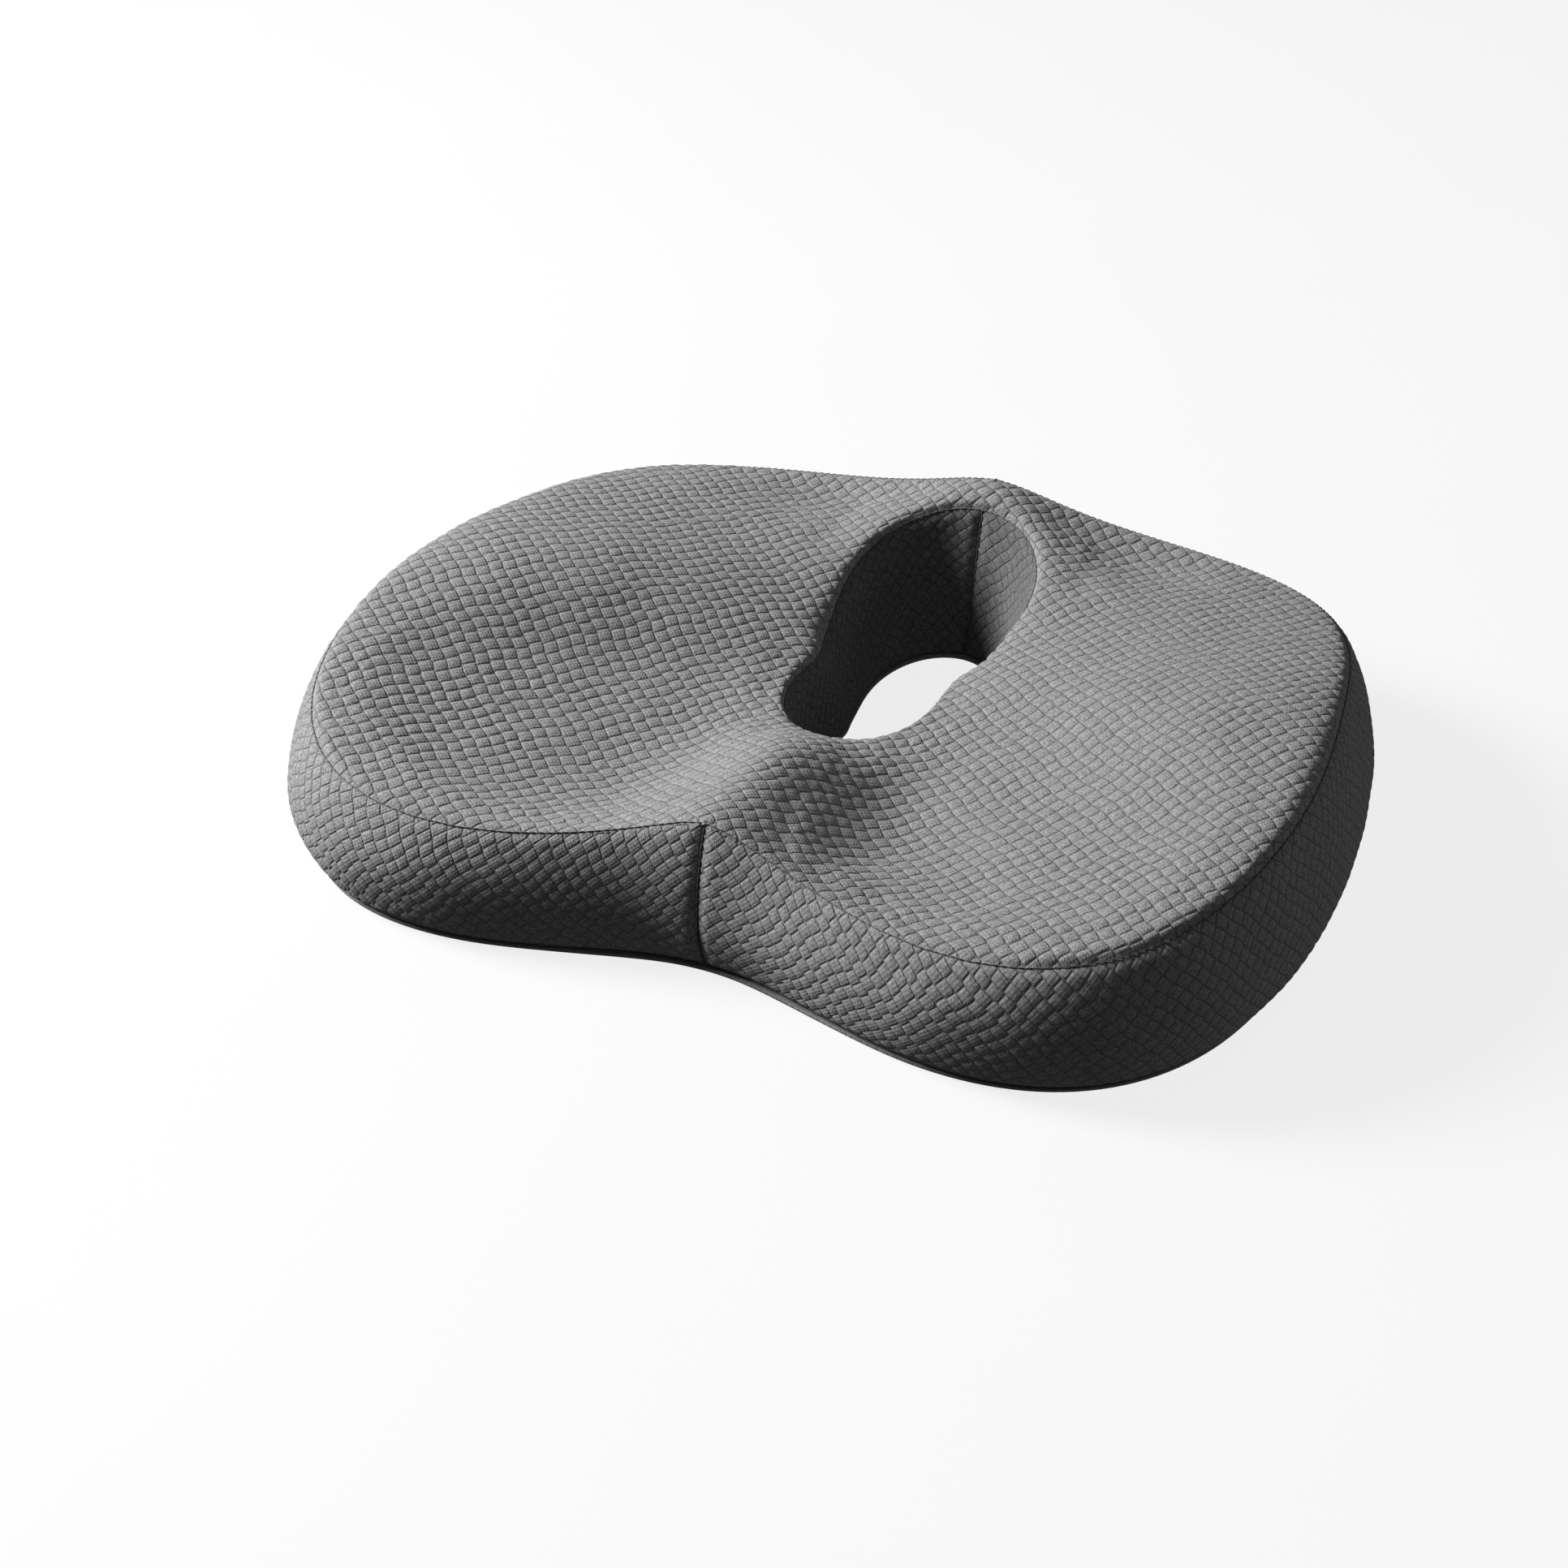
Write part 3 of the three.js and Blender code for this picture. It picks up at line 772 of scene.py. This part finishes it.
def wall_plan(points, hub):
    """Distance round the hub and height, for a wall that stands round it."""
    offset = points[:, :2] - np.array(hub)
    angle = np.arctan2(offset[:, 0], -offset[:, 1])
    radius = np.hypot(offset[:, 0], offset[:, 1])
    bins = np.linspace(-math.pi, math.pi, WALL_STEPS + 1)
    middle = (bins[1:] + bins[:-1]) / 2
    which = np.clip(np.digitize(angle, bins) - 1, 0, WALL_STEPS - 1)
    count = np.bincount(which, minlength=WALL_STEPS)
    total = np.bincount(which, radius, minlength=WALL_STEPS)
    known = count > 0
    mean = np.interp(middle, middle[known], total[known] / count[known])
    slope = np.gradient(mean, middle)
    length = np.concatenate([[0], np.cumsum(np.hypot(mean, slope) * np.diff(bins))])
    length -= np.interp(0, bins, length)
    return np.interp(angle, bins, length), points[:, 2] * WALL_LEAN


def flat_plan(mesh):
    """Where each vertex of a nearly flat panel lies when the panel is laid out flat."""
    sheet = linked("flat", mesh)
    bpy.context.view_layer.objects.active = sheet
    sheet.select_set(True)
    bpy.ops.object.mode_set(mode="EDIT")
    bpy.ops.mesh.select_all(action="SELECT")
    bpy.ops.uv.unwrap(method="ANGLE_BASED", margin=0)
    bpy.ops.object.mode_set(mode="OBJECT")
    layout = np.empty(len(mesh.loops) * 2, np.float32)
    mesh.uv_layers.active.data.foreach_get("uv", layout)
    owner = np.empty(len(mesh.loops), np.int32)
    mesh.loops.foreach_get("vertex_index", owner)
    flat = np.zeros(len(mesh.vertices), complex)
    flat[owner] = layout[0::2] + 1j * layout[1::2]
    points = points_of(mesh)
    plan = points[:, 0] + 1j * points[:, 1]
    target = plan - plan.mean()
    best = None
    for candidate in (flat, flat.conj()):
        centred = candidate - candidate.mean()
        turn = (centred.conj() @ target) / (centred.conj() @ centred).real
        error = np.abs(centred * turn - target).sum()
        if best is None or error < best[0]:
            best = (error, centred * turn + plan.mean())
    bpy.data.objects.remove(sheet)
    return best[1].real, best[1].imag


def finer(mesh, spacing):
    """The mesh with every edge longer than the spacing halved, twice at most."""
    bm = bmesh.new()
    bm.from_mesh(mesh)
    for _ in range(2):
        long = [edge for edge in bm.edges if edge.calc_length() > spacing]
        if not long:
            break
        bmesh.ops.subdivide_edges(bm, edges=long, cuts=1, use_grid_fill=True)
    bm.to_mesh(mesh)
    bm.free()
    return mesh


def puffs(across, along, turn, pitch):
    """0 in a groove of the knit and 1 on top of a puff."""
    _, _, row, cell = lattice(across, along, turn, pitch, np.sin, np.floor)
    over = 1 - np.abs((row - np.floor(row)) * 2 - 1) ** 3
    beside = 1 - np.abs((cell - np.floor(cell)) * 2 - 1) ** 3
    return over * beside


def swell_under(points):
    """How far the foam has swollen under each point of the cover, evened out."""
    block = bpy.data.objects["foam_block"].data
    swell = np.empty(len(block.vertices), np.float32)
    block.attributes["swell"].data.foreach_get("value", swell)
    tree, shared = search_tree(points_of(block)), 6
    return np.array([
        sum(swell[number] for _, number, _ in tree.find_n(point, shared)) / shared
        for point in points
    ])


def toward(foam, points):
    """Unit vectors from points to the nearest places on the foam."""
    inward = np.array([foam.find_nearest(point)[0] for point in points]) - points
    return inward / (np.linalg.norm(inward, axis=1)[:, None] + TINY)


def knit_panel(name, node, material, turn, pitch, hub, rise):
    """A sewn panel of quilted knit over the foam, made from the outer skin of its CAD node."""
    knit, seam = settings("knit"), settings("seam")
    foam = foam_tree()
    mesh = subdivided(mesh_of(outer_skin(node, foam), name), 2)
    if hub is None:
        across, along = flat_plan(mesh)
    else:
        across, along = wall_plan(points_of(mesh), hub)
    layout = mesh.attributes.new("knit", "FLOAT_VECTOR", "POINT")
    layout.data.foreach_set(
        "vector", np.column_stack([across, along, along * 0]).astype(np.float32).ravel()
    )
    mesh = finer(subdivided(mesh, 1), knit.detail)
    points, normals = points_of(mesh), vectors(mesh.vertex_normals, "vector")
    across, along, _ = vectors(mesh.attributes["knit"].data, "vector").T
    edge = nearest(points, border_points(mesh))
    inside, deep = faded(edge, PUFF_ROOM), faded(edge, BUMP_ROOM)
    height = (puffs(across, along, turn, pitch) - PUFF_MEAN) * rise * inside
    height *= 1 + PUFF_SPREAD * lumps(points, SPREAD_WIDTH, 1)
    height += lumps(points, BUMP_WIDTH, 2) * BUMP_HEIGHT * deep
    fold = seam.pucker * lumps(points, FOLD_WIDTH, 3) * np.exp(-edge / FOLD_REACH)
    height += fold * inside + swell_under(points) * deep
    tuck = seam.tuck * np.exp(-((edge / seam.tuck_width) ** 2))
    inward = toward(foam, points)
    set_points(mesh, points + normals * height[:, None] + inward * tuck[:, None])
    piece = finished(name, mesh, material, [node])
    skin = piece.modifiers.new("Cloth Thickness", "SOLIDIFY")
    skin.thickness = SHEET
    skin.offset = -1


# --------------------------------------------------------------------------- pieces


class CUSHION_OT_foam(Operator):
    """Swell the foam block against the inside of its cover"""
    bl_idname = "cushion.foam"
    bl_label = "Foam"

    def execute(self, context):
        foam = settings("foam")
        mesh = mesh_of(merged_copy("foam_core"), "foam_block")
        mesh = with_modifier(mesh, "REMESH", mode="VOXEL", voxel_size=foam.voxel)
        start = points_of(mesh) - vectors(mesh.vertex_normals, "vector") * foam.slack
        set_points(mesh, start)
        moved = self.swollen(mesh, start)
        piece = finished("foam_block", mesh, foam_finish(), ["foam_core"])
        set_points(mesh, moved)
        swell = mesh.attributes.new("swell", "FLOAT", "POINT")
        far = np.linalg.norm(moved - start, axis=1)
        swell.data.foreach_set("value", far.astype(np.float32))
        return {"FINISHED"}

    def swollen(self, mesh, start):
        """Where the block's points go under pressure, with the cover's seams holding it in."""
        foam = settings("foam")
        tree = foam_tree()
        seams = []
        for node in ("top_panel", "side_band_left", "side_band_right", "hole_sleeve"):
            seams += border_points(mesh_of(outer_skin(node, tree), node))
        hold = np.clip(2 - nearest(start, seams) / foam.held, 0, 1)
        holder = linked("swelling", mesh.copy())
        scene = bpy.context.scene
        group = holder.vertex_groups.new(name="held")
        for number in np.nonzero(hold)[0]:
            group.add([int(number)], float(hold[number]), "REPLACE")
        cloth = holder.modifiers.new("Cloth", "CLOTH")
        cloth.settings.quality = 4
        cloth.settings.use_pressure = True
        cloth.settings.uniform_pressure_force = foam.pressure
        cloth.settings.effector_weights.gravity = 0
        cloth.settings.vertex_group_mass = "held"
        cloth.point_cache.frame_start, cloth.point_cache.frame_end = 1, SWELL_FRAMES
        for number in range(1, SWELL_FRAMES + 1):
            scene.frame_set(number)
        move = points_of(baked(holder)) - start
        scene.frame_set(1)
        length = np.linalg.norm(move, axis=1)
        return start + move * (np.minimum(length, foam.swell) / (length + TINY))[:, None]


class CUSHION_OT_seat_panel(Operator):
    """Make the crowned knit panel that is sat on"""
    bl_idname = "cushion.seat_panel"
    bl_label = "Seat Panel"

    def execute(self, context):
        knit = settings("knit")
        material = knit_finish("Top_Knit", knit.top_turn, knit.pitch)
        knit_panel(
            "top_knit_panel", "top_panel", material, knit.top_turn, knit.pitch,
            None, knit.puff,
        )
        return {"FINISHED"}


class CUSHION_OT_side_bands(Operator):
    """Make the left and right knit bands round the cushion's sides"""
    bl_idname = "cushion.side_bands"
    bl_label = "Side Bands"

    def execute(self, context):
        knit = settings("knit")
        pitch = knit.pitch * knit.band_share
        material = knit_finish("Band_Knit", knit.wall_turn, pitch)
        for side in ("left", "right"):
            knit_panel(
                "side_panel_" + side, "side_band_" + side, material,
                knit.wall_turn, pitch, OUTLINE_HUB, knit.puff * knit.wall_puff,
            )
        return {"FINISHED"}


class CUSHION_OT_hole_lining(Operator):
    """Make the knit sleeve that lines the relief hole"""
    bl_idname = "cushion.hole_lining"
    bl_label = "Hole Lining"

    def execute(self, context):
        knit = settings("knit")
        pitch = knit.pitch * knit.lining_share
        # Painted shade: the lining's knit is darkened to half, standing in for the shade down
        # inside the relief hole.
        material = knit_finish("Sleeve_Knit", knit.wall_turn, pitch, 0.5)
        knit_panel(
            "hole_lining", "hole_sleeve", material,
            knit.wall_turn, pitch, HOLE_HUB, knit.puff * knit.wall_puff,
        )
        return {"FINISHED"}


class CUSHION_OT_base(Operator):
    """Make the woven base panels and their rubber grip dots"""
    bl_idname = "cushion.base"
    bl_label = "Base"

    def execute(self, context):
        base = settings("base")
        cloth, rubber = base_finish(), rubber_finish()
        for side in ("front", "rear"):
            node = "base_panel_" + side
            bm = merged_copy(node)
            for vert in bm.verts:
                if vert.co.z < base.rise:
                    vert.co.z = base.rise
            self.round_outline(bm)
            round_off(bm, sharp_edges(bm, 40), CLOTH_EDGE)
            piece = finished(
                "base_cloth_" + side, mesh_of(bm, node), cloth, [node]
            )
            grip = self.dots(piece, side, rubber)
            self.plan_area(piece)
        return {"FINISHED"}

    def plan_area(self, piece):
        """The area of a flat panel's underside, as it was cut."""
        return sum(
            face.area for face in piece.data.polygons
            if face.normal.z < -0.9 and face.center.z < settings("base").rise * 2
        )

    def round_outline(self, bm):
        """Turns the straight steps of the outline and of the hole into smooth curves."""
        straightened(bm)

        def curved(vert):
            off_zip = abs(vert.co.y - ZIP_Y)
            return off_zip > ZIP_ROOM or (abs(vert.co.x) > ZIP_REACH and off_zip > MM)

        def level(edge):
            first, second = edge.verts
            return abs(first.co.z - second.co.z) < MERGE

        steps = [
            edge for edge in bm.edges
            if all(curved(v) for v in edge.verts) and level(edge)
            and edge.calc_length() < OUTLINE_STEP
        ]
        bmesh.ops.subdivide_edges(bm, edges=steps, cuts=3)
        sharp = set(sharp_edges(bm, 40))
        beside = {}
        for vert in bm.verts:
            ends = [
                edge.other_vert(vert) for edge in vert.link_edges
                if edge in sharp and level(edge)
            ]
            if curved(vert) and len(ends) == 2:
                beside[vert] = ends
        for _ in range(OUTLINE_PASSES):
            moved = {
                vert: (vert.co * 2 + ends[0].co + ends[1].co) / 4
                for vert, ends in beside.items()
            }
            for vert, place in moved.items():
                vert.co = place

    def dots(self, cloth, side, rubber):
        """Rubber domes in staggered rows over the flat underside of one base panel."""
        base = settings("base")
        tree = BVHTree.FromObject(cloth, bpy.context.evaluated_depsgraph_get())
        low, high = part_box("base_panel_" + side)
        one = bmesh.new()
        # The lower part of a sphere, closed on top and flattened to the dot's height.
        bmesh.ops.create_uvsphere(one, u_segments=8, v_segments=6, radius=base.dot / 2)
        bmesh.ops.bisect_plane(
            one, geom=one.verts[:] + one.edges[:] + one.faces[:], dist=1e-7,
            plane_co=(0, 0, base.dot * 0.12), plane_no=(0, 0, 1), clear_outer=True,
        )
        bmesh.ops.holes_fill(one, edges=one.edges, sides=0)
        bmesh.ops.scale(one, vec=(1, 1, base.rise / (base.dot / 2)), verts=one.verts)
        bmesh.ops.recalc_face_normals(one, faces=one.faces)
        dot = mesh_of(one, "dot")
        bm = bmesh.new()
        row_pitch = base.dot_pitch * math.sqrt(3) / 2
        rows = int((high.y - low.y) / row_pitch) + 1
        columns = int((high.x - low.x) / base.dot_pitch) + 2
        side_steps = ((0, 0), (1, 0), (-1, 0), (0, 1), (0, -1))
        around = [(right * DOT_MARGIN, back * DOT_MARGIN) for right, back in side_steps]
        for row in range(rows):
            for column in range(columns):
                x = low.x + (column + (row % 2) / 2) * base.dot_pitch
                y = low.y + row * row_pitch
                hits = [
                    tree.ray_cast(Vector((x + dx, y + dy, PROBE_START)), UP, PROBE_REACH)[0]
                    for dx, dy in around
                ]
                if all(hit is not None and hit.z <= base.rise * 1.2 for hit in hits):
                    put_copy(bm, dot, (x, y, base.rise))
        return finished("grip_dots_" + side, mesh_of(bm, "dots"), rubber)


class CUSHION_OT_zip_tapes(Operator):
    """Make the two woven tapes of the zip"""
    bl_idname = "cushion.zip_tapes"
    bl_label = "Zip Tapes"

    def execute(self, context):
        material = tape_finish()
        for side in ("front", "rear"):
            node = "zipper_tape_" + side
            bm = merged_copy(node)
            round_off(bm, bm.edges, TAPE_EDGE, segments=1)
            finished("zip_tape_" + side, mesh_of(bm, node), material, [node])
        return {"FINISHED"}


class CUSHION_OT_zip_chain(Operator):
    """Make the nylon coils and the end stops of the zip"""
    bl_idname = "cushion.zip_chain"
    bl_label = "Zip Chain"

    def execute(self, context):
        zipper = settings("zip")
        nylon, metal = coil_finish(), metal_finish()
        for side in ("front", "rear"):
            node = "zipper_coil_" + side
            low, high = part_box(node)
            middle = (low + high) / 2
            span = high - low
            one = bmesh.new()
            bmesh.ops.create_circle(
                one, segments=5, radius=zipper.wire / 2,
                matrix=Matrix.Translation((0, (span.z - zipper.wire) / 2, 0))
                @ Matrix.Rotation(math.pi / 2, 4, "Y"),
            )
            bmesh.ops.spin(
                one, geom=one.verts[:] + one.edges[:], cent=(0, 0, 0), axis=(1, 0, 0),
                angle=math.tau, steps=9, use_merge=True,
            )
            bmesh.ops.remove_doubles(one, verts=one.verts, dist=1e-6)
            bmesh.ops.scale(one, vec=(1, span.y / span.z, 1), verts=one.verts)
            for vert in one.verts:
                vert.co.x += vert.co.z * COIL_LEAN * (1 if side == "front" else -1)
            bmesh.ops.recalc_face_normals(one, faces=one.faces)
            loop = mesh_of(one, "loop")
            bm = bmesh.new()
            count = int((span.x - zipper.wire) / zipper.tooth_pitch)
            start = middle.x - (count - 1) * zipper.tooth_pitch / 2
            for number in range(count):
                put_copy(bm, loop, (start + number * zipper.tooth_pitch, middle.y, middle.z))
            finished("zip_coil_" + side, mesh_of(bm, node), nylon, [node])
        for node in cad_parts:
            if "stop" in node:
                rounded(node, node.replace("zipper", "zip"), metal, "cushion", STOP_EDGE)
        return {"FINISHED"}


class CUSHION_OT_zip_slider(Operator):
    """Make the zip's slider and its pull tab"""
    bl_idname = "cushion.zip_slider"
    bl_label = "Zip Slider"

    def execute(self, context):
        zipper = settings("zip")
        metal = bpy.data.materials.get("Zip_Metal") or metal_finish()
        rounded("zipper_slider", "zip_slider", metal, "slider", zipper.bevel)
        rounded("zipper_pull_tab", "zip_pull_tab", metal, "pull_tab", zipper.bevel)
        return {"FINISHED"}


class CUSHION_OT_seam_threads(Operator):
    """Sew lock stitches into the seams between the knit panels"""
    bl_idname = "cushion.seam_threads"
    bl_label = "Seam Threads"

    def execute(self, context):
        material = thread_finish()
        foam = foam_tree()
        seat, band, sleeve = [
            subdivided(mesh_of(outer_skin(node, foam), node), 2)
            for node in ("top_panel", "side_band_left", "hole_sleeve")
        ]
        for name, chain in zip(("top_seam", "rim_seam"), border_loops(seat)):
            self.sew(name, points_of(seat)[chain], foam, True, material)
        for name, mesh, forward in (
            ("front_seam", band, True), ("rear_seam", band, False),
            ("lining_seam", sleeve, False),
        ):
            points = points_of(mesh)
            border = {number for chain in border_loops(mesh) for number in chain}
            ends = [
                number for number in border
                if abs(points[number][0]) < MM and (points[number][1] < 0) == forward
            ]
            ends.sort(key=lambda number: points[number][2])
            self.sew(name, points[ends], foam, False, material)
        return {"FINISHED"}

    def sew(self, name, points, foam, ring, material):
        """A thread along a seam, thick over each stitch and thin where it dives."""
        seam = settings("seam")
        closed = np.vstack([points, points[:1]]) if ring else points
        lengths = np.linalg.norm(np.diff(closed, axis=0), axis=1)
        along = np.concatenate([[0], np.cumsum(lengths)])
        count = STITCH_STEPS * max(4, round(along[-1] / seam.stitch))
        where = np.linspace(0, along[-1], count, endpoint=not ring)
        sampled = np.column_stack([np.interp(where, along, closed[:, k]) for k in range(3)])
        over = np.abs(np.sin(np.arange(count) * math.pi / STITCH_STEPS))
        sampled += toward(foam, sampled) * ((0.95 - 0.2 * over)[:, None] * seam.tuck)
        curve = bpy.data.curves.new(name, "CURVE")
        curve.dimensions = "3D"
        curve.bevel_depth = seam.thread / 2
        curve.bevel_resolution = 1
        curve.use_fill_caps = True
        line = curve.splines.new("POLY")
        line.points.add(count - 1)
        line.points.foreach_set(
            "co", np.column_stack([sampled, np.ones(count)]).astype(np.float32).ravel()
        )
        line.points.foreach_set("radius", (0.55 + 0.45 * over).astype(np.float32))
        line.use_cyclic_u = ring
        finished(name, baked(linked(name, curve)), material)


class CUSHION_OT_stage(Operator):
    """Make the floor, the soft lights and the camera"""
    bl_idname = "cushion.stage"
    bl_label = "Stage"

    def execute(self, context):
        stage = settings("stage")
        scene = context.scene
        bm = bmesh.new()
        bmesh.ops.create_grid(bm, x_segments=4, y_segments=4, size=6.0)
        floor = linked("floor", mesh_of(bm, "floor"))
        floor.data.materials.append(floor_finish())
        floor.visible_diffuse = False
        floor.visible_glossy = False
        self.light("key_light", stage.key, KEY_SIZE, KEY_PLACE)
        self.light("fill_light", stage.fill, FILL_SIZE, FILL_PLACE)
        world = bpy.data.worlds.new("studio")
        world.use_nodes = True
        sky = world.node_tree.nodes["Background"]
        sky.inputs["Color"].default_value = (1, 1, 1, 1)
        sky.inputs["Strength"].default_value = stage.ambient
        scene.world = world
        scene.view_settings.view_transform = "Standard"
        camera = linked("camera", bpy.data.cameras.new("camera"))
        camera.data.lens = stage.lens
        camera.data.sensor_width = 36
        camera.data.clip_start = 0.05
        self.aim(camera, CAMERA_PLACE, CAMERA_BACK)
        scene.camera = camera
        return {"FINISHED"}

    def light(self, name, power, size, place):
        lamp = bpy.data.lights.new(name, "AREA")
        lamp.energy = power
        lamp.shape = "DISK"
        lamp.size = size
        self.aim(linked(name, lamp), place, place)

    def aim(self, item, place, back):
        """Puts a light or the camera in its place, its back to the given direction."""
        item.location = place
        item.rotation_mode = "QUATERNION"
        item.rotation_quaternion = (-back).to_track_quat("-Z", "Y")


OPERATORS = (
    CUSHION_OT_foam,
    CUSHION_OT_seat_panel,
    CUSHION_OT_side_bands,
    CUSHION_OT_hole_lining,
    CUSHION_OT_seam_threads,
    CUSHION_OT_base,
    CUSHION_OT_zip_tapes,
    CUSHION_OT_zip_chain,
    CUSHION_OT_zip_slider,
    CUSHION_OT_stage,
)

GROUPS = {
    "knit": KnitProperties,
    "seam": SeamProperties,
    "foam": FoamProperties,
    "base": BaseProperties,
    "zip": ZipProperties,
    "stage": StageProperties,
}


class CUSHION_PT_pieces(Panel):
    """The cushion's pieces and their settings"""
    bl_label = "Seat Cushion"
    bl_idname = "CUSHION_PT_pieces"
    bl_space_type = "VIEW_3D"
    bl_region_type = "UI"
    bl_category = "Cushion"

    def draw(self, context):
        layout = self.layout
        for name in GROUPS:
            box = layout.box()
            box.label(text=name.title())
            group = settings(name)
            for key in GROUPS[name].__annotations__:
                box.prop(group, key)
        for operator in OPERATORS:
            layout.operator(operator.bl_idname)


def register():
    for group in GROUPS.values():
        bpy.utils.register_class(group)
    for operator in OPERATORS:
        bpy.utils.register_class(operator)
    bpy.utils.register_class(CUSHION_PT_pieces)
    for name, group in GROUPS.items():
        setattr(bpy.types.Scene, "cushion_" + name, PointerProperty(type=group))


def unregister():
    for name in GROUPS:
        delattr(bpy.types.Scene, "cushion_" + name)
    bpy.utils.unregister_class(CUSHION_PT_pieces)
    for operator in reversed(OPERATORS):
        bpy.utils.unregister_class(operator)
    for group in reversed(list(GROUPS.values())):
        bpy.utils.unregister_class(group)


def main():
    register()
    bpy.ops.cushion.stage()
    bpy.ops.cushion.foam()
    bpy.ops.cushion.seat_panel()
    bpy.ops.cushion.side_bands()
    bpy.ops.cushion.hole_lining()
    bpy.ops.cushion.seam_threads()
    bpy.ops.cushion.base()
    bpy.ops.cushion.zip_tapes()
    bpy.ops.cushion.zip_chain()
    bpy.ops.cushion.zip_slider()


if __name__ == "__main__":
    main()
